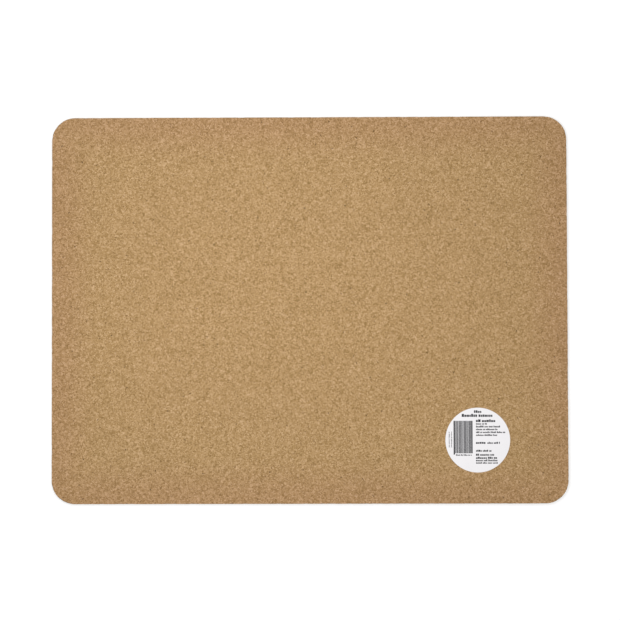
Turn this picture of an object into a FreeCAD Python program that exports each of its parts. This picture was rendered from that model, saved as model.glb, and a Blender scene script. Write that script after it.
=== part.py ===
import FreeCAD, Part

import math
import os

# A stiff cork-backed mat, lying with its decorated face down and its cork back up.
# Millimetres. The origin is the middle of the decorated face, +X runs along the long side
# and +Z points out of the cork. The layers are stacked face to face from Z = 0 upwards.

# Outline, in plan
LENGTH = 400.0
WIDTH = 300.0
CORNER_RADIUS = 18.0

# Layer thicknesses, from the decorated face up to the cork: 4 mm in all
TOP_COAT = 0.10
DECOR_SHEET = 0.15
DECOR_GLUE = 0.05
CORE_BOARD = 2.60
CORK_GLUE = 0.05
CORK_SHEET = 1.05

# Cut edge
EDGE_COAT = 0.10  # paint thickness, measured square to the edge and to the bevel
FACE_BEVEL = 0.60  # 45 degree bevel round the decorated face
CORK_EASE = 0.25  # rounding of the cork's outer rim

# Round label on the cork
LABEL_DIAMETER = 50.0
LABEL_FROM_RIGHT = 70.0  # from the mat's right edge to the label's middle
LABEL_FROM_BOTTOM = 49.0  # from the mat's lower edge to the label's middle
LABEL_ADHESIVE = 0.03  # pressed into the cork, so the cork has a dent this deep
LABEL_PAPER = 0.09  # stands proud of the cork

# Heights of the faces between the layers
Z_DECOR_SHEET = TOP_COAT
Z_DECOR_GLUE = Z_DECOR_SHEET + DECOR_SHEET
Z_CORE_BOARD = Z_DECOR_GLUE + DECOR_GLUE
Z_CORK_GLUE = Z_CORE_BOARD + CORE_BOARD
Z_CORK_SHEET = Z_CORK_GLUE + CORK_GLUE
Z_BACK = Z_CORK_SHEET + CORK_SHEET

LABEL_CENTRE = FreeCAD.Vector(
    LENGTH / 2 - LABEL_FROM_RIGHT,
    LABEL_FROM_BOTTOM - WIDTH / 2,
    Z_BACK - LABEL_ADHESIVE,
)
UP = FreeCAD.Vector(0, 0, 1)


def rounded_plate(inset, bottom, thickness):
    """A plate with the mat's outline drawn in by inset, from the height bottom upwards."""
    half_x = LENGTH / 2 - inset
    half_y = WIDTH / 2 - inset
    radius = CORNER_RADIUS - inset
    block = Part.makeBox(
        2 * half_x,
        2 * half_y,
        thickness,
        FreeCAD.Vector(-half_x, -half_y, bottom),
    )
    upright = [edge for edge in block.Edges if abs(edge.tangentAt(edge.FirstParameter).z) > 0.5]
    return block.makeFillet(radius, upright)


def rim(plate, height):
    """The edges of a plate's outline that lie at one height."""
    return [
        edge
        for edge in plate.Edges
        if all(math.isclose(vertex.Z, height, abs_tol=1e-6) for vertex in edge.Vertexes)
    ]


def bevelled_stack(inset, bevel):
    """All layers below the cork as one plate, bevelled round the decorated face."""
    plate = rounded_plate(inset, 0.0, Z_CORK_SHEET)
    return plate.makeChamfer(bevel, rim(plate, 0.0))


def layer(stack, bottom, thickness):
    """The slice of the stack that one flat layer fills."""
    return stack.common(rounded_plate(0.0, bottom, thickness))


def edge_coat(stack):
    """The ring of paint that covers the cut edges of every layer below the cork."""
    return bevelled_stack(0.0, FACE_BEVEL).cut(stack)


def label_disc(height, thickness):
    """A disc of the label's size, standing height above the dent's floor."""
    return Part.makeCylinder(
        LABEL_DIAMETER / 2,
        thickness,
        LABEL_CENTRE + UP * height,
        UP,
    )


def cork_sheet():
    """The cork, with its outer rim eased and a shallow dent under the label."""
    plate = rounded_plate(0.0, Z_CORK_SHEET, CORK_SHEET)
    eased = plate.makeFillet(CORK_EASE, rim(plate, Z_BACK))
    return eased.cut(label_disc(0.0, LABEL_ADHESIVE))


def build():
    """Every sub-part, by node name."""
    # The inner bevel is larger, so that the paint is equally thick on the edge and on the bevel.
    inner_bevel = FACE_BEVEL + EDGE_COAT * (math.sqrt(2) - 1)
    stack = bevelled_stack(EDGE_COAT, inner_bevel)
    return {
        "top_coat": layer(stack, 0.0, TOP_COAT),
        "decor_sheet": layer(stack, Z_DECOR_SHEET, DECOR_SHEET),
        "decor_glue": layer(stack, Z_DECOR_GLUE, DECOR_GLUE),
        "core_board": layer(stack, Z_CORE_BOARD, CORE_BOARD),
        "cork_glue": layer(stack, Z_CORK_GLUE, CORK_GLUE),
        "edge_coat": edge_coat(stack),
        "cork_sheet": cork_sheet(),
        "label_adhesive": label_disc(0.0, LABEL_ADHESIVE),
        "label_paper": label_disc(LABEL_ADHESIVE, LABEL_PAPER),
    }


os.makedirs("parts", exist_ok=True)
for node, shape in build().items():
    solid = shape.Solids[0]
    if len(shape.Solids) != 1 or not solid.isValid():
        raise RuntimeError(f"{node} is not one valid solid")
    solid.exportStep(f"parts/{node}.step")
    box = solid.BoundBox
    print(f"{node}: {solid.Volume:.1f} mm3, Z {box.ZMin:.3f} to {box.ZMax:.3f}")
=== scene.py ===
import math
import random

import bmesh
import bpy
from mathutils import Matrix, Vector, noise
from mathutils.geometry import delaunay_2d_cdt


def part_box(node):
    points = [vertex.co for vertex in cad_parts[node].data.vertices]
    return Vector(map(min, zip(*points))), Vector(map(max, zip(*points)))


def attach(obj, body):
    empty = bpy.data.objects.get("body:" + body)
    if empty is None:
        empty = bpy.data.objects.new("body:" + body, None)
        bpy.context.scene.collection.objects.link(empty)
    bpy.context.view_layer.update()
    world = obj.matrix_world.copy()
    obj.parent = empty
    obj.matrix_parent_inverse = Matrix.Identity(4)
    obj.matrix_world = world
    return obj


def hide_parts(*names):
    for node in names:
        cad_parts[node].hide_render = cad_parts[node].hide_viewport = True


# The looks of a stiff cork-backed mat, which lies on its decorated face with the cork up. Metres.
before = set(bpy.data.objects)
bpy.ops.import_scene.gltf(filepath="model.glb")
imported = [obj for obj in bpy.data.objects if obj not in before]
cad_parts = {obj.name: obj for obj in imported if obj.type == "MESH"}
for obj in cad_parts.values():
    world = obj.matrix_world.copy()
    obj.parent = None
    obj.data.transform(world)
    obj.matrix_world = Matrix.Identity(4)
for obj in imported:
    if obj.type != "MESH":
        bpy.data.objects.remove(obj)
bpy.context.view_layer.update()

MM = 0.001

# Places that come from the frame
CORK_LOW, CORK_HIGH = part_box("cork_sheet")
LABEL_LOW, LABEL_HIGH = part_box("label_paper")
HALF_X = CORK_HIGH.x
HALF_Y = CORK_HIGH.y
CORK_TOP = CORK_HIGH.z
CORK_THICKNESS = CORK_HIGH.z - CORK_LOW.z
DENT_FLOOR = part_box("label_adhesive")[0].z
LABEL_MIDDLE = (LABEL_LOW + LABEL_HIGH) / 2
LABEL_RADIUS = (LABEL_HIGH.x - LABEL_LOW.x) / 2
LABEL_THICKNESS = LABEL_HIGH.z - LABEL_LOW.z
EDGE_LOW, EDGE_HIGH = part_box("edge_coat")
PAINT_THICKNESS = HALF_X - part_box("core_board")[1].x

# Outline of the mat
CORNER_RADIUS = 18 * MM
OUTLINE_STEP = 1.0 * MM
CORNER_STEPS = 28
FACE_BEVEL = 0.6 * MM
BEVEL_SOFTENING = 0.12 * MM

# Cork: its granules, its torn rim, and the pits where a granule came out of its face
GRANULE = 0.85 * MM
CORK_EASE = 0.25 * MM
TORN_PLACES = 110
TORN_INWARD = 0.35 * MM
TORN_DOWN = 0.30 * MM
RIM_ROUGHNESS = 0.035 * MM
PITS = 420
PIT_RADII = (0.35 * MM, 0.80 * MM)
PIT_STEPS = 9
PIT_SPACING = 4.0 * MM
PIT_MARGIN = 3.0 * MM
# How far in from the mat's edges the painted shade of the cork's margin reaches
EDGE_SHADE_MARGIN = 40.0 * MM
NET_STEP = 8.0 * MM
NET_MARGIN = 6.0 * MM
SAME_PLACE = 1e-9  # points closer than this are one point when the face is filled

# Label
LABEL_STEPS = 160
LABEL_RINGS = 14
LABEL_ROUNDING = 0.03 * MM
INK_PROUD = 0.008 * MM
INK_SUNK = 0.010 * MM
INK_STEP = 1.2 * MM
LABEL_WAVE = 0.012 * MM
WAVE_ACROSS = 5.1 * MM
WAVE_UP = 6.3 * MM
# Stretches of the edge that have lifted: (heading in degrees, height, where it starts, narrowness)
LABEL_LIFTS = (
    (205, 0.22 * MM, 0.72, 6),
    (40, 0.10 * MM, 0.80, 10),
)
BAR_WIDTHS = (0.25 * MM, 0.40 * MM, 0.55 * MM, 0.80 * MM)
BAR_GAPS = (0.14 * MM, 0.14 * MM, 0.16 * MM, 0.28 * MM)
OUTER_BAR = 1.0 * MM
FIRST_BAR_OVERHANG = 1.0 * MM
BARS_MIDDLE_GAP = 0.22 * MM

# Seeds of the random draws
RIM_SEED = 11
PIT_SEED = 23
PRINT_SEED = 4

# Edges sharper than this, in degrees, stay crisp under smooth shading
CRISP_ANGLE = 35

# Camera: straight above the cork, a little tilted
CAMERA_PLACE = (10.7 * MM, -26.7 * MM, 1139 * MM)
CAMERA_TILT = (1.344, 0.516, -0.151)
CAMERA_LENS = 85

# Light and floor
WORLD_STRENGTH = 0.88
SOFTBOX_PLACE = (-62 * MM, 54 * MM, 420 * MM)
SOFTBOX_SIZE = 0.3
SOFTBOX_POWER = 1.15
FLOOR_ALBEDO = 0.55
FLOOR_GLOW = 0.48
FLOOR_REACH = 6.0

# Base colours. The granules run from the darkest to the palest, as (place on the ramp, colour).
GRANULE_TONES = (
    (0.22, (0.206, 0.118, 0.036)),
    (0.42, (0.295, 0.178, 0.068)),
    (0.60, (0.350, 0.218, 0.094)),
    (0.78, (0.406, 0.259, 0.122)),
    (0.98, (0.519, 0.344, 0.190)),
)
BARK_TONE = (0.120, 0.060, 0.020)
PALE_TONE = (0.640, 0.440, 0.250)
GLUE_TONE = (0.58, 0.46, 0.26)
LABEL_GLUE_TONE = (0.78, 0.76, 0.68)


class Graph:
    """A new material's node tree, with short calls for what the materials here repeat."""

    def __init__(self, name):
        self.material = bpy.data.materials.new(name)
        self.material.use_nodes = True
        self.tree = self.material.node_tree
        self.shader = self.tree.nodes["Principled BSDF"]

    def connect(self, socket, value):
        """Links a socket to an output, or sets it to a plain value."""
        if isinstance(value, bpy.types.NodeSocket):
            self.tree.links.new(value, socket)
        else:
            socket.default_value = value

    def add(self, kind, inputs, output=0, **settings):
        """Adds one node and returns one of its outputs."""
        node = self.tree.nodes.new("ShaderNode" + kind)
        for name, value in settings.items():
            setattr(node, name, value)
        for key, value in inputs.items():
            self.connect(node.inputs[key], value)
        return node.outputs[output]

    def place(self):
        """The point being shaded, in metres in the mat's own frame."""
        return self.add("TexCoord", {}, "Object")

    def axis(self, where, name):
        return self.add("SeparateXYZ", {0: where}, name)

    def channel(self, colour, name):
        return self.add("SeparateColor", {0: colour}, name)

    def math(self, operation, first, second=0.0, third=0.0):
        return self.add("Math", {0: first, 1: second, 2: third}, operation=operation)

    def vector(self, operation, first, second):
        return self.add("VectorMath", {0: first, 1: second}, operation=operation)

    def scaled(self, vector, factor):
        """A vector or a colour times one number."""
        return self.add("VectorMath", {0: vector, "Scale": factor}, operation="SCALE")

    def spread(self, value, low, high, to_low=0.0, to_high=1.0):
        """Maps low..high smoothly onto to_low..to_high."""
        inputs = {"Value": value, 1: low, 2: high, 3: to_low, 4: to_high}
        return self.add("MapRange", inputs, interpolation_type="SMOOTHSTEP")

    def noise(self, where, size, detail=2.0, output="Fac"):
        """Soft noise whose blotches are about size across."""
        return self.add("TexNoise", {"Vector": where, "Scale": 1 / size, "Detail": detail}, output)

    def crooked(self, where, size, amount):
        """The same place, pushed about by noise, so that what is drawn there gets uneven edges."""
        push = self.noise(where, size, 1.0, "Color")
        centred = self.vector("SUBTRACT", push, (0.5, 0.5, 0.5))
        return self.vector("ADD", where, self.scaled(centred, amount))

    def cells(self, where, size, feature="F1"):
        """Rounded cells about size across, each with a random Color. All outputs, by name."""
        inputs = {"Vector": where, "Scale": 1 / size}
        return self.add("TexVoronoi", inputs, feature=feature).node.outputs

    def ramp(self, value, stops):
        """A colour ramp through (position, colour) stops."""
        node = self.tree.nodes.new("ShaderNodeValToRGB")
        elements = node.color_ramp.elements
        while len(elements) < len(stops):
            elements.new(1.0)
        for element, (position, colour) in zip(elements, stops):
            element.position = position
            element.color = (*colour, 1.0)
        self.connect(node.inputs["Fac"], value)
        return node.outputs["Color"]

    def mix(self, factor, first, second):
        """The first colour, covered by the second as far as factor says."""
        node = self.tree.nodes.new("ShaderNodeMix")
        node.data_type = "RGBA"
        for socket, value in zip((node.inputs[0], node.inputs[6], node.inputs[7]), (factor, first, second)):
            self.connect(socket, value)
        return node.outputs[2]

    def bump(self, height, depth, strength):
        inputs = {"Height": height, "Distance": depth, "Strength": strength}
        self.connect(self.shader.inputs["Normal"], self.add("Bump", inputs))

    def finish(self, colour, roughness, specular=0.5, coat=0.0):
        self.connect(self.shader.inputs["Base Color"], colour)
        self.connect(self.shader.inputs["Roughness"], roughness)
        self.shader.inputs["Specular IOR Level"].default_value = specular
        self.shader.inputs["Coat Weight"].default_value = coat
        return self.material


def shade(colour, factor):
    """A colour made lighter or darker."""
    return tuple(channel * factor for channel in colour)


def cork_material():
    """Fine agglomerated cork: granules of many tans, bark flecks, pale flecks and open pores."""
    g = Graph("agglomerated_cork")
    place = g.place()
    wavy = g.crooked(place, GRANULE, 0.55 * GRANULE)
    ragged = g.crooked(wavy, 0.25 * GRANULE, 0.20 * GRANULE)
    # One granule in four is a large one
    small = g.cells(ragged, GRANULE)
    large = g.cells(ragged, 1.7 * GRANULE)
    is_large = g.math("LESS_THAN", g.channel(large["Color"], "Green"), 0.25)
    granule = g.mix(is_large, small["Color"], large["Color"])
    tone = g.channel(granule, "Red")
    # Fine cell lines, which run another way in each granule
    turn = g.math("MULTIPLY", g.channel(granule, "Blue"), 2 * math.pi)
    turned = g.add("VectorRotate", {"Vector": place, "Angle": turn}, rotation_type="Z_AXIS")
    lines = g.noise(g.vector("MULTIPLY", turned, (1.0, 0.25, 1.0)), 0.16 * MM, 2.0)
    crumbs = g.channel(g.cells(ragged, 0.45 * GRANULE)["Color"], "Red")
    mottle = g.math("MULTIPLY_ADD", crumbs, 0.24, g.math("MULTIPLY", lines, 0.40))
    tone = g.math("MULTIPLY_ADD", tone, 0.56, mottle)
    colour = g.ramp(tone, GRANULE_TONES)
    # Dark binder in some of the joints
    joint = g.cells(ragged, GRANULE, "DISTANCE_TO_EDGE")["Distance"]
    some = g.spread(g.noise(place, 1.4 * MM), 0.45, 0.60)
    open_joint = g.math("MULTIPLY", g.spread(joint, 0.0, 0.09, 1.0, 0.0), some)
    colour = g.scaled(colour, g.math("MULTIPLY_ADD", open_joint, -0.30, 1.0))
    # Flecks of bark and pale flecks, both of ragged shape
    fleck_place = g.crooked(place, 0.6 * MM, 0.5 * MM)
    bark = g.spread(g.noise(fleck_place, 1.2 * MM, 4.0), 0.655, 0.680)
    colour = g.mix(g.math("MULTIPLY", bark, 0.75), colour, (*BARK_TONE, 1.0))
    elsewhere = g.vector("ADD", fleck_place, (0.31, 0.17, 0.53))
    pale = g.spread(g.noise(elsewhere, 1.2 * MM, 4.0), 0.655, 0.690)
    colour = g.mix(g.math("MULTIPLY", pale, 0.6), colour, (*PALE_TONE, 1.0))
    # Broad, faint cloudiness, and a margin darkened and reddened a little: painted shade towards the mat's
    # edges
    colour = g.scaled(colour, g.spread(g.noise(place, 34 * MM, 3.0), 0.3, 0.7, 0.988, 1.012))
    inland = depth_inside(g, place)
    edge_shade = g.spread(inland, 0.0, EDGE_SHADE_MARGIN, 1.0, 0.0)
    colour = g.mix(edge_shade, colour, g.vector("MULTIPLY", colour, (0.955, 0.905, 0.950)))
    # Painted shade: the pits are darker towards their floors
    sunk = g.spread(g.axis(place, "Z"), CORK_TOP - 0.25 * MM, CORK_TOP - 0.02 * MM, 0.5, 0.0)
    pit_shade = g.math("MULTIPLY", sunk, g.math("GREATER_THAN", inland, 0.5 * PIT_MARGIN))
    colour = g.scaled(colour, g.math("SUBTRACT", 1.0, pit_shade))
    roughness = g.spread(g.channel(granule, "Green"), 0.0, 1.0, 0.78, 0.94)
    height = g.math("MULTIPLY_ADD", g.spread(joint, 0.0, 0.16), 0.55, g.math("MULTIPLY", lines, 0.45))
    g.bump(height, 0.09 * MM, 0.8)
    return g.finish(colour, roughness, specular=0.25)


def depth_inside(g, place):
    """How far the point being shaded lies in from the nearest side of the mat."""
    from_end = g.math("SUBTRACT", HALF_X, g.math("ABSOLUTE", g.axis(place, "X")))
    from_side = g.math("SUBTRACT", HALF_Y, g.math("ABSOLUTE", g.axis(place, "Y")))
    return g.math("MINIMUM", from_end, from_side)


def paper_material():
    """Matt white label paper with a trace of fibre."""
    g = Graph("label_paper")
    place = g.place()
    fibre = g.noise(g.crooked(place, 2 * MM, 1 * MM), 0.35 * MM, 4.0)
    cloud = g.noise(place, 12 * MM, 2.0)
    tone = g.math("MULTIPLY_ADD", cloud, 0.4, g.math("MULTIPLY", fibre, 0.6))
    colour = g.ramp(tone, ((0.3, (0.700, 0.685, 0.695)), (0.7, (0.740, 0.725, 0.735))))
    g.bump(fibre, 0.012 * MM, 0.5)
    return g.finish(colour, g.spread(fibre, 0.3, 0.7, 0.55, 0.7), specular=0.35)


def ink_material():
    """Black thermal print with small paler breaks in it."""
    g = Graph("label_ink")
    breaks = g.noise(g.place(), 0.16 * MM, 2.0)
    colour = g.ramp(breaks, ((0.30, (0.006, 0.006, 0.008)), (0.72, (0.030, 0.030, 0.034))))
    return g.finish(colour, g.spread(breaks, 0.3, 0.7, 0.45, 0.6), specular=0.2)


def edge_paint_material():
    """Brown sealing paint on the cut edge, with faint streaks, and rubbed thin along the bevel."""
    g = Graph("edge_paint")
    place = g.place()
    streak = g.noise(g.vector("MULTIPLY", place, (1.0, 1.0, 9.0)), 3.0 * MM, 4.0)
    orange_peel = g.noise(place, 0.4 * MM, 2.0)
    bevel = g.spread(g.axis(place, "Z"), 0.35 * MM, 1.1 * MM, 1.0, 0.0)
    rubbed = g.math("MULTIPLY", bevel, g.spread(streak, 0.50, 0.72))
    paint = g.ramp(streak, ((0.3, (0.150, 0.100, 0.066)), (0.7, (0.205, 0.140, 0.094))))
    colour = g.mix(g.math("MULTIPLY", rubbed, 0.6), paint, (0.36, 0.25, 0.16, 1.0))
    g.bump(g.math("MULTIPLY_ADD", orange_peel, 0.6, streak), 0.03 * MM, 0.5)
    return g.finish(colour, g.spread(streak, 0.3, 0.7, 0.42, 0.6), specular=0.4)


def fibreboard_material():
    """Hard fibreboard: matted brown fibres."""
    g = Graph("fibreboard")
    matted = g.crooked(g.place(), 3 * MM, 2 * MM)
    fibre = g.noise(g.vector("MULTIPLY", matted, (1.0, 1.0, 4.0)), 0.8 * MM, 6.0)
    colour = g.ramp(fibre, ((0.3, (0.23, 0.15, 0.09)), (0.7, (0.44, 0.31, 0.20))))
    g.bump(fibre, 0.05 * MM, 0.6)
    return g.finish(colour, 0.8, specular=0.3)


def print_material(name, roughness, coat):
    """The decorated face: a plain slate grey with a fine linen weave printed on it."""
    g = Graph(name)
    wavy = g.crooked(g.place(), 6 * MM, 0.4 * MM)
    pitch = 0.9 * MM
    warp = g.noise(g.vector("MULTIPLY", wavy, (1.0, 0.05, 1.0)), pitch, 2.0)
    weft = g.noise(g.vector("MULTIPLY", wavy, (0.05, 1.0, 1.0)), pitch, 2.0)
    across = g.math("SINE", g.math("MULTIPLY", g.axis(wavy, "X"), 2 * math.pi / pitch))
    along = g.math("SINE", g.math("MULTIPLY", g.axis(wavy, "Y"), 2 * math.pi / pitch))
    weave = g.math("MULTIPLY", across, along)
    tone = g.math("MULTIPLY_ADD", g.math("ADD", warp, weft), 0.5, g.math("MULTIPLY", weave, 0.12))
    colour = g.ramp(tone, ((0.25, (0.12, 0.135, 0.145)), (0.75, (0.28, 0.30, 0.31))))
    g.bump(tone, 0.015 * MM, 0.4)
    return g.finish(colour, roughness, coat=coat)


def glue_material(name, colour):
    """Dried glue film, slightly cloudy."""
    g = Graph(name)
    cloud = g.noise(g.place(), 5 * MM, 3.0)
    colour = g.ramp(cloud, ((0.3, shade(colour, 0.87)), (0.7, shade(colour, 1.13))))
    g.bump(cloud, 0.02 * MM, 0.3)
    return g.finish(colour, g.spread(cloud, 0.3, 0.7, 0.35, 0.5))


def outline(inset):
    """Points round the mat's outline, drawn in by inset, with their outward directions."""
    radius = CORNER_RADIUS - inset
    straight_x = HALF_X - CORNER_RADIUS
    straight_y = HALF_Y - CORNER_RADIUS
    steps_x = round(2 * straight_x / OUTLINE_STEP)
    steps_y = round(2 * straight_y / OUTLINE_STEP)
    sides = (
        (Vector((straight_x, -straight_y)), 0, steps_y),
        (Vector((straight_x, straight_y)), 90, steps_x),
        (Vector((-straight_x, straight_y)), 180, steps_y),
        (Vector((-straight_x, -straight_y)), 270, steps_x),
    )
    points = []
    for index, (start, heading, steps) in enumerate(sides):
        corner = sides[(index + 1) % 4][0]
        out = Vector((math.cos(math.radians(heading)), math.sin(math.radians(heading))))
        for step in range(steps):
            points.append((start.lerp(corner, step / steps) + out * radius, out))
        for step in range(CORNER_STEPS):
            turn = math.radians(heading + 90 * step / CORNER_STEPS)
            out = Vector((math.cos(turn), math.sin(turn)))
            points.append((corner + out * radius, out))
    return points


def from_edge(spot):
    """How far a point of the mat's plan lies inside its outline."""
    past = Vector((
        max(abs(spot.x) - (HALF_X - CORNER_RADIUS), 0.0),
        max(abs(spot.y) - (HALF_Y - CORNER_RADIUS), 0.0),
    ))
    return CORNER_RADIUS - past.length


def from_label(spot):
    """How far a point of the mat's plan lies outside the label."""
    return (spot - LABEL_MIDDLE.to_2d()).length - LABEL_RADIUS


def circle(radius, height):
    """A ring of points about the label's middle."""
    turns = [2 * math.pi * step / LABEL_STEPS for step in range(LABEL_STEPS)]
    return [
        Vector((LABEL_MIDDLE.x + radius * math.cos(turn), LABEL_MIDDLE.y + radius * math.sin(turn), height))
        for turn in turns
    ]


def add_loops(mesh, loops):
    """Joins closed loops of points, one after the next, with quads."""
    rings = [[mesh.verts.new(point) for point in loop] for loop in loops]
    join_rings(mesh, rings)
    return rings


def join_rings(mesh, rings):
    """Fills between closed rings of vertices with quads."""
    for lower, upper in zip(rings, rings[1:]):
        for index in range(len(lower)):
            after = (index + 1) % len(lower)
            mesh.faces.new((lower[index], lower[after], upper[after], upper[index]))


def make_object(name, mesh, material):
    """Turns a bmesh into an object that wears one material, smooth except at its crisp edges."""
    bmesh.ops.recalc_face_normals(mesh, faces=mesh.faces)
    data = bpy.data.meshes.new(name)
    mesh.to_mesh(data)
    mesh.free()
    data.shade_smooth()
    data.set_sharp_from_angle(angle=math.radians(CRISP_ANGLE))
    data.materials.append(material)
    piece = bpy.data.objects.new(name, data)
    bpy.context.scene.collection.objects.link(piece)
    return piece


def torn_rim(count):
    """How much cork is missing at each point of the rim, from 0 to 1, where granules tore out."""
    rng = random.Random(RIM_SEED)
    missing = [0.0] * count
    for _ in range(TORN_PLACES):
        middle = rng.randrange(count)
        reach = rng.choice((1, 1, 2))
        depth = rng.uniform(0.35, 1.0)
        for offset in range(-reach, reach + 1):
            index = (middle + offset) % count
            missing[index] = max(missing[index], depth * (1 - abs(offset) / (reach + 1)))
    return missing


def cork_rim(mesh):
    """The cork's cut sides and eased upper rim. Returns its lowest and innermost rings of vertices."""
    rim = outline(0.0)
    missing = torn_rim(len(rim))
    # (how far in, how far down from the top, the share of the tear, whether it is rough)
    profile = (
        (0.0, CORK_THICKNESS, 0.0, False),
        (0.0, 0.75 * CORK_THICKNESS, 0.15, True),
        (0.0, 0.50 * CORK_THICKNESS, 0.45, True),
        (0.0, CORK_EASE, 0.9, True),
        (0.29 * CORK_EASE, 0.29 * CORK_EASE, 1.0, True),
        (CORK_EASE, 0.0, 0.7, True),
        (2.6 * CORK_EASE, 0.0, 0.2, True),
        (5.0 * CORK_EASE, 0.0, 0.0, False),
    )
    loops = []
    for inset, down, tear, is_rough in profile:
        loop = []
        for (point, out), lost in zip(rim, missing):
            inward = inset + tear * lost * TORN_INWARD
            if is_rough:
                inward += RIM_ROUGHNESS * abs(noise.noise(Vector((point.x, point.y, down)) / GRANULE))
            drop = tear * lost * TORN_DOWN if down <= CORK_EASE else 0.0
            spot = point - out * inward
            loop.append(Vector((spot.x, spot.y, CORK_TOP - down - drop)))
        loops.append(loop)
    rings = add_loops(mesh, loops)
    return rings[0], rings[-1]


def pit_places(rng):
    """Middles of the pits, clear of the mat's edge, of the label and of each other."""
    places = []
    while len(places) < PITS:
        spot = Vector((rng.uniform(-HALF_X, HALF_X), rng.uniform(-HALF_Y, HALF_Y)))
        if min(from_edge(spot), from_label(spot)) < PIT_MARGIN:
            continue
        if all((spot - other).length > PIT_SPACING for other in places):
            places.append(spot)
    return places


def add_pit(mesh, rng, spot):
    """One shallow pit of uneven outline. Returns the ring of vertices round its mouth."""
    radius = rng.uniform(*PIT_RADII)
    depth = radius * rng.uniform(0.35, 0.50)
    stretch = rng.uniform(1.0, 1.7)
    lie = Matrix.Rotation(rng.uniform(0.0, math.pi), 2)
    spokes = []
    for step in range(PIT_STEPS):
        turn = 2 * math.pi * step / PIT_STEPS
        reach = radius * rng.uniform(0.75, 1.15)
        spokes.append(lie @ Vector((reach * math.cos(turn) * stretch, reach * math.sin(turn) / stretch)))
    rings = add_loops(mesh, [
        [(*(spot + spoke * share), CORK_TOP - depth * down) for spoke in spokes]
        for share, down in ((1.0, 0.0), (0.62, 0.75))
    ])
    bottom = mesh.verts.new((spot.x, spot.y, CORK_TOP - depth))
    for index in range(PIT_STEPS):
        mesh.faces.new((rings[1][index], rings[1][(index + 1) % PIT_STEPS], bottom))
    return rings[0]


def net_points(pits):
    """A grid of points over the cork's face, clear of its edge, the label and the pits."""
    columns = round(2 * HALF_X / NET_STEP)
    rows = round(2 * HALF_Y / NET_STEP)
    points = []
    for column in range(1, columns):
        for row in range(1, rows):
            spot = Vector((HALF_X * (2 * column / columns - 1), HALF_Y * (2 * row / rows - 1)))
            if min(from_edge(spot), from_label(spot)) < NET_MARGIN:
                continue
            if all((spot - pit).length > PIT_MARGIN for pit in pits):
                points.append(spot)
    return points


def fill_face(mesh, rim, holes, points):
    """Fills the flat face inside the rim and outside the holes with triangles that use the points."""
    known = [vert for ring in (rim, *holes) for vert in ring]
    rings = []
    for ring in (rim, *holes):
        start = sum(len(earlier) for earlier in rings)
        rings.append(list(range(start, start + len(ring))))
    spots = [vert.co.to_2d() for vert in known] + points
    made, _, triangles, sources, _, owners = delaunay_2d_cdt(spots, [], rings, 0, SAME_PLACE)
    verts = []
    for point, origin in zip(made, sources):
        if origin[0] < len(known):
            verts.append(known[origin[0]])
        else:
            verts.append(mesh.verts.new((point.x, point.y, CORK_TOP)))
    for triangle, inside in zip(triangles, owners):
        if inside == [0]:
            mesh.faces.new([verts[index] for index in triangle])


def cork_piece(material):
    """The cork sheet, with a rim of cut granules, pits in its face and the dent under the label."""
    rng = random.Random(PIT_SEED)
    mesh = bmesh.new()
    lowest, innermost = cork_rim(mesh)
    mesh.faces.new(lowest)
    dent = add_loops(mesh, [circle(LABEL_RADIUS, CORK_TOP), circle(LABEL_RADIUS, DENT_FLOOR)])
    mesh.faces.new(dent[1])
    places = pit_places(rng)
    mouths = [add_pit(mesh, rng, spot) for spot in places]
    fill_face(mesh, innermost, [dent[0], *mouths], net_points(places))
    return make_object("cork_backing", mesh, material)


def edge_coat_piece(material):
    """The coat of paint round the board: a thin closed ring that follows the edge and the bevel."""
    inner_bevel = FACE_BEVEL + PAINT_THICKNESS * (math.sqrt(2) - 1)
    # (how far in, how far up), once round the ring's section
    section = (
        (FACE_BEVEL, 0.0),
        (FACE_BEVEL - BEVEL_SOFTENING, 0.55 * BEVEL_SOFTENING),
        (BEVEL_SOFTENING, FACE_BEVEL - BEVEL_SOFTENING),
        (0.0, FACE_BEVEL + BEVEL_SOFTENING),
        (0.0, 0.5 * (EDGE_HIGH.z - EDGE_LOW.z)),
        (0.0, EDGE_HIGH.z - EDGE_LOW.z),
        (PAINT_THICKNESS, EDGE_HIGH.z - EDGE_LOW.z),
        (PAINT_THICKNESS, inner_bevel),
        (PAINT_THICKNESS + inner_bevel, 0.0),
    )
    loops = [
        [Vector((point.x, point.y, EDGE_LOW.z + up)) for point, _ in outline(inset)]
        for inset, up in section
    ]
    mesh = bmesh.new()
    rings = add_loops(mesh, loops)
    join_rings(mesh, [rings[-1], rings[0]])
    return make_object("painted_edge", mesh, material)


def lift(reach, turn, towards, height, start, narrow):
    """How far one lifted stretch raises a point of the label. reach is its share of the radius."""
    facing = max(0.0, math.cos(turn - math.radians(towards)))
    return height * facing**narrow * (max(0.0, reach - start) / (1.0 - start)) ** 2


def label_height(x, y):
    """Height of the label's printed surface: nearly flat, with two stretches of its edge lifted."""
    across = x - LABEL_MIDDLE.x
    up = y - LABEL_MIDDLE.y
    reach = math.hypot(across, up) / LABEL_RADIUS
    turn = math.atan2(up, across)
    wave = LABEL_WAVE * math.sin(across / WAVE_ACROSS + 0.7) * math.cos(up / WAVE_UP)
    height = LABEL_HIGH.z + wave * min(1.0, 1.4 * reach)
    for stretch in LABEL_LIFTS:
        height += lift(reach, turn, *stretch)
    return height


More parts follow.
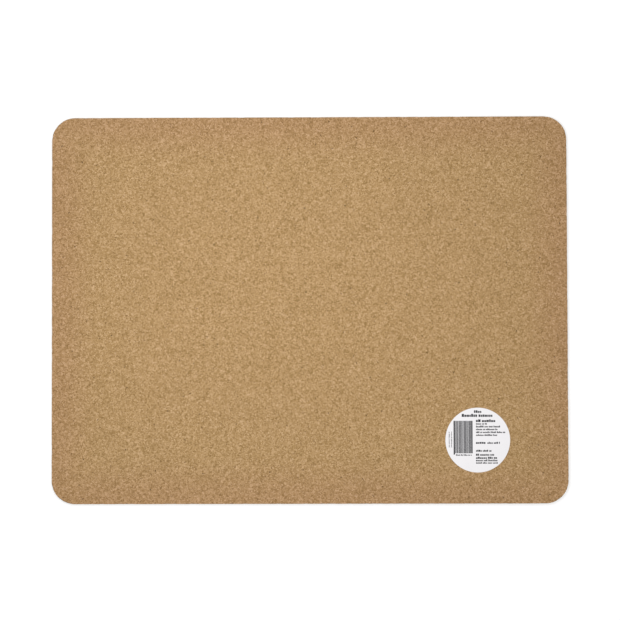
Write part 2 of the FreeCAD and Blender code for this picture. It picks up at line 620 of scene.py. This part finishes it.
def label_piece(material):
    """The paper disc, as thin as the CAD one, its upper rim very slightly rounded."""
    inner = [LABEL_RADIUS * ring / LABEL_RINGS for ring in range(1, LABEL_RINGS)]
    top = [(radius, 0.0) for radius in inner]
    rim = [
        (LABEL_RADIUS - LABEL_ROUNDING, 0.0),
        (LABEL_RADIUS, LABEL_ROUNDING),
        (LABEL_RADIUS, LABEL_THICKNESS),
    ]
    bottom = [(radius, LABEL_THICKNESS) for radius in reversed(inner)]
    loops = [
        [Vector((p.x, p.y, label_height(p.x, p.y) - down)) for p in circle(radius, 0.0)]
        for radius, down in top + rim + bottom
    ]
    mesh = bmesh.new()
    rings = add_loops(mesh, loops)
    mesh.faces.new(rings[0])
    mesh.faces.new(rings[-1])
    return make_object("round_label", mesh, material)


def add_mark(mesh, x, y, width, height):
    """One printed mark, a thin plate that follows the paper. x and y are its lower left corner."""
    pieces = max(1, math.ceil(height / INK_STEP))
    loops = []
    for piece in range(pieces + 1):
        level = y + height * piece / pieces
        left = label_height(x, level)
        right = label_height(x + width, level)
        loops.append((
            (x, level, left - INK_SUNK),
            (x + width, level, right - INK_SUNK),
            (x + width, level, right + INK_PROUD),
            (x, level, left + INK_PROUD),
        ))
    rings = add_loops(mesh, loops)
    mesh.faces.new(rings[0])
    mesh.faces.new(rings[-1])


def add_words(mesh, rng, x, y, length, tall, weight, upright=False):
    """A row of word-like clusters of plain blocks. With upright, the row runs up the label."""
    widest = 0.72 * tall * weight
    block_gap = 0.14 * tall
    word_gap = 0.36 * tall
    place = 0.0
    while place < length:
        for _ in range(rng.randint(2, 7)):
            wide = widest * rng.uniform(0.55, 1.0)
            high = tall * rng.choice((0.72, 0.72, 0.8, 1.0))
            if place + wide > length:
                return
            if upright:
                add_mark(mesh, x, y + place, high, wide)
            else:
                add_mark(mesh, x + place, y, wide, high)
            place += wide + block_gap
        place += word_gap


def add_bars(mesh, rng, x, y, length, tall):
    """A block of upright bars in two halves. Its two outer bars are wide, and the first is the longest."""
    add_mark(mesh, x, y - FIRST_BAR_OVERHANG, OUTER_BAR, tall + FIRST_BAR_OVERHANG)
    add_mark(mesh, x + length - OUTER_BAR, y, OUTER_BAR, tall)
    half = (length - 2 * OUTER_BAR - BARS_MIDDLE_GAP) / 2
    for start in (x + OUTER_BAR, x + OUTER_BAR + half + BARS_MIDDLE_GAP):
        place = BAR_GAPS[0]
        while half - place > BAR_WIDTHS[0]:
            wide = min(rng.choice(BAR_WIDTHS), half - place)
            add_mark(mesh, start + place, y, wide, tall)
            place += wide + rng.choice(BAR_GAPS)


def print_piece(material):
    """All the label's print: a block of bars and rows of word-like marks."""
    rng = random.Random(PRINT_SEED)
    mesh = bmesh.new()
    left = LABEL_MIDDLE.x
    base = LABEL_MIDDLE.y
    add_bars(mesh, rng, left - 18.7 * MM, base - 10.2 * MM, 14.7 * MM, 25.1 * MM)
    # Rows, in millimetres from the label's middle: (across, up, length, height of the marks, weight)
    rows = (
        (-2.8, 21.0, 6.4, 2.0, 1.15),
        (-12.3, 17.9, 25.5, 2.3, 1.05),
        (-1.3, 13.9, 16.8, 2.05, 1.3),
        (-1.3, 11.9, 9.5, 1.35, 1.0),
        (-1.3, 9.7, 18.8, 1.45, 1.05),
        (-1.3, 7.6, 16.8, 1.3, 0.95),
        (-1.3, 5.4, 22.6, 1.3, 0.95),
        (-1.3, 3.2, 16.4, 1.3, 0.95),
        (-1.4, -2.9, 8.0, 1.8, 1.3),
        (7.4, -2.9, 10.0, 1.5, 1.0),
        (-1.4, -9.0, 12.6, 1.5, 1.1),
        (-1.4, -12.1, 14.1, 1.6, 1.2),
        (-1.4, -14.5, 17.2, 1.6, 1.2),
        (-1.4, -16.4, 17.2, 1.4, 1.05),
        (-1.4, -18.2, 17.2, 1.25, 0.95),
        (-16.9, -12.1, 12.4, 1.2, 0.8),
    )
    for across, up, length, tall, weight in rows:
        add_words(mesh, rng, left + across * MM, base + up * MM, length * MM, tall * MM, weight)
    for across in (-22.4, -20.6):
        add_words(mesh, rng, left + across * MM, base - 5.6 * MM, 12.3 * MM, 0.8 * MM, 0.6, upright=True)
    return make_object("label_print", mesh, material)


def wear(node, material):
    """Gives a CAD node its material."""
    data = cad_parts[node].data
    data.materials.clear()
    data.materials.append(material)


def add_pieces():
    """Every visible piece, and the materials of the CAD nodes that stay."""
    cork = cork_piece(cork_material())
    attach(cork, "root")
    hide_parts("cork_sheet")
    edge = edge_coat_piece(edge_paint_material())
    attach(edge, "root")
    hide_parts("edge_coat")
    label = label_piece(paper_material())
    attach(label, "root")
    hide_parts("label_paper")
    ink = print_piece(ink_material())
    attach(ink, "root")
    glue = glue_material("glue_film", GLUE_TONE)
    wear("decor_glue", glue)
    wear("cork_glue", glue)
    wear("label_adhesive", glue_material("label_glue", LABEL_GLUE_TONE))
    wear("core_board", fibreboard_material())
    wear("decor_sheet", print_material("printed_paper", 0.75, 0.0))
    wear("top_coat", print_material("lacquered_face", 0.38, 0.3))


def add_floor():
    """A plain pale floor that glows faintly. It is the stage, not part of the mat."""
    g = Graph("pale_floor")
    grain = g.noise(g.place(), 0.4, 2.0)
    pale = (FLOOR_ALBEDO, FLOOR_ALBEDO, FLOOR_ALBEDO)
    g.finish(g.ramp(grain, ((0.3, shade(pale, 0.98)), (0.7, pale))), 0.9, specular=0.0)
    g.shader.inputs["Emission Color"].default_value = (1.0, 1.0, 1.0, 1.0)
    g.shader.inputs["Emission Strength"].default_value = FLOOR_GLOW
    corners = [(x * FLOOR_REACH, y * FLOOR_REACH, 0.0) for x, y in ((-1, -1), (1, -1), (1, 1), (-1, 1))]
    data = bpy.data.meshes.new("floor")
    data.from_pydata(corners, [], [(0, 1, 2, 3)])
    data.materials.append(g.material)
    floor = bpy.data.objects.new("floor", data)
    bpy.context.scene.collection.objects.link(floor)


def add_light():
    """Even white surroundings, and one softbox that points straight down from above the upper left."""
    world = bpy.data.worlds.new("studio")
    world.use_nodes = True
    background = world.node_tree.nodes["Background"]
    background.inputs["Color"].default_value = (1.0, 1.0, 1.0, 1.0)
    background.inputs["Strength"].default_value = WORLD_STRENGTH
    bpy.context.scene.world = world
    bpy.context.scene.view_settings.view_transform = "Standard"
    light = bpy.data.lights.new("softbox", "AREA")
    light.shape = "SQUARE"
    light.size = SOFTBOX_SIZE
    light.energy = SOFTBOX_POWER
    softbox = bpy.data.objects.new("softbox", light)
    softbox.location = SOFTBOX_PLACE
    softbox.visible_camera = False
    bpy.context.scene.collection.objects.link(softbox)


def add_camera():
    lens = bpy.data.cameras.new("camera")
    lens.lens = CAMERA_LENS
    camera = bpy.data.objects.new("camera", lens)
    camera.location = CAMERA_PLACE
    camera.rotation_euler = [math.radians(angle) for angle in CAMERA_TILT]
    bpy.context.scene.collection.objects.link(camera)
    bpy.context.scene.camera = camera


add_pieces()
add_floor()
add_light()
add_camera()
